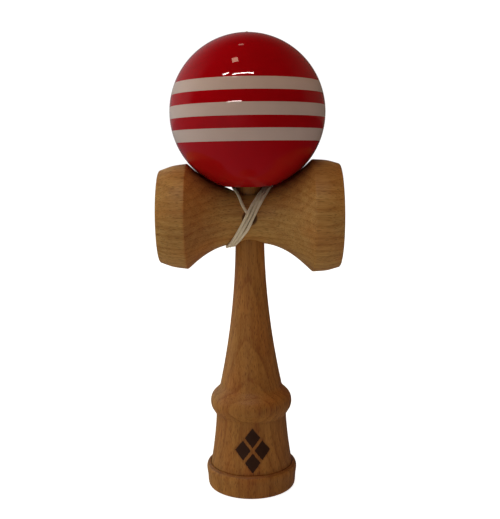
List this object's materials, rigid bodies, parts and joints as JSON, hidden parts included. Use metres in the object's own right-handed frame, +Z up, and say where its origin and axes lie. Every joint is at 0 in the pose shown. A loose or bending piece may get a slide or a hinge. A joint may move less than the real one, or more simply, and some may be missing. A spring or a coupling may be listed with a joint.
{
  "type": "kendama",
  "caption": "Wooden cup-and-ball toy: a turned handle with a base cup, a cross piece with two cups, and a lacquered ball that sits on the spike, held by a wound string.",
  "frame": {"origin": "centre of the base rim's flat, where the toy stands", "axes": "+Z up along the handle and spike, +X towards the big cup, -Y towards the string's hole, the front"},
  "size_m": [0.0704, 0.0615, 0.1805],
  "materials": {
    "ken_wood": "smooth beech, rubbed with oil, satin",
    "sarado_wood": "smooth beech, rubbed with oil, satin",
    "red_lacquer": "deep red gloss lacquer with three pale stripes",
    "cotton": "thin braided off-white string",
    "bead_wood": "small plain wooden bead"
  },
  "bodies": {
    "ken_body": {"ken": "ken_wood", "sarado": "sarado_wood", "string_wound": "cotton", "anchor_knot": "cotton"},
    "string_end": {"string_upper": "cotton", "bead": "bead_wood", "end_knot": "cotton"},
    "tama_body": {"tama": "red_lacquer"}
  },
  "joints": [
    {"name": "tama_lift", "type": "slide", "parent": "ken_body", "child": "string_end", "axis": [0, 0, 1], "range_m": [0, 0.045]},
    {"name": "tama_spin", "type": "hinge", "parent": "string_end", "child": "tama_body", "pos_m": [-0.0005, 0, 0.14945], "axis": [0, 0, 1], "continuous": true}
  ]
}
